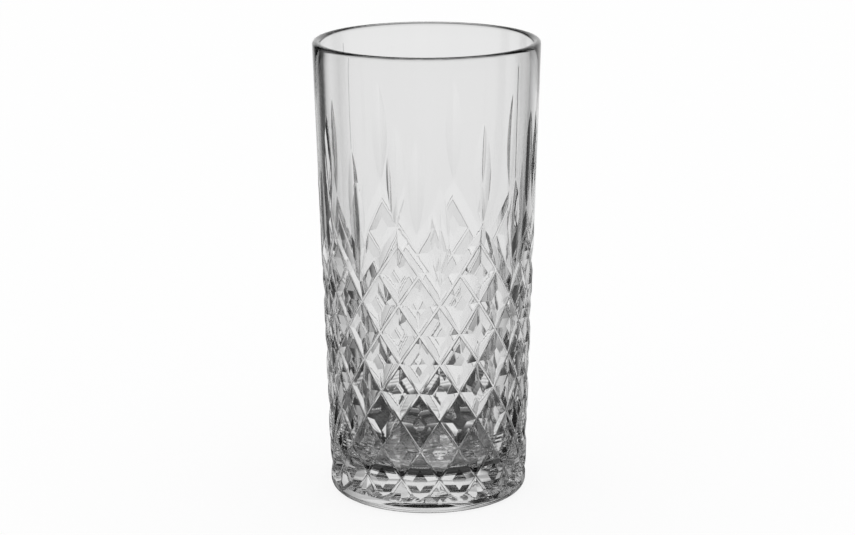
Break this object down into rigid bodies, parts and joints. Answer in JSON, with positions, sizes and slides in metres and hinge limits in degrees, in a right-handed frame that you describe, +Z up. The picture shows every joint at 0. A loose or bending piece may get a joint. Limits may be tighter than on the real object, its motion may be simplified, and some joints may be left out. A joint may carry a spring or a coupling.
{
  "type": "tall tumbler",
  "caption": "Tall tapered drinking glass in clear pressed glass, with a heavy base, a field of V-cut diamonds ending in a zigzag, upright leaf cuts and a plain rounded rim.",
  "frame": {"origin": "centre of the base, on the surface that the tumbler stands on", "axes": "+Z up along the tumbler's own axis to the rim; -Y faces a hollow of the zigzag border"},
  "size_m": [0.0734, 0.0734, 0.15],
  "materials": {
    "clear_glass": "fire-polished, clear with a faint grey cast"
  },
  "bodies": {
    "root": {"glass_body": "clear_glass"}
  },
  "joints": []
}
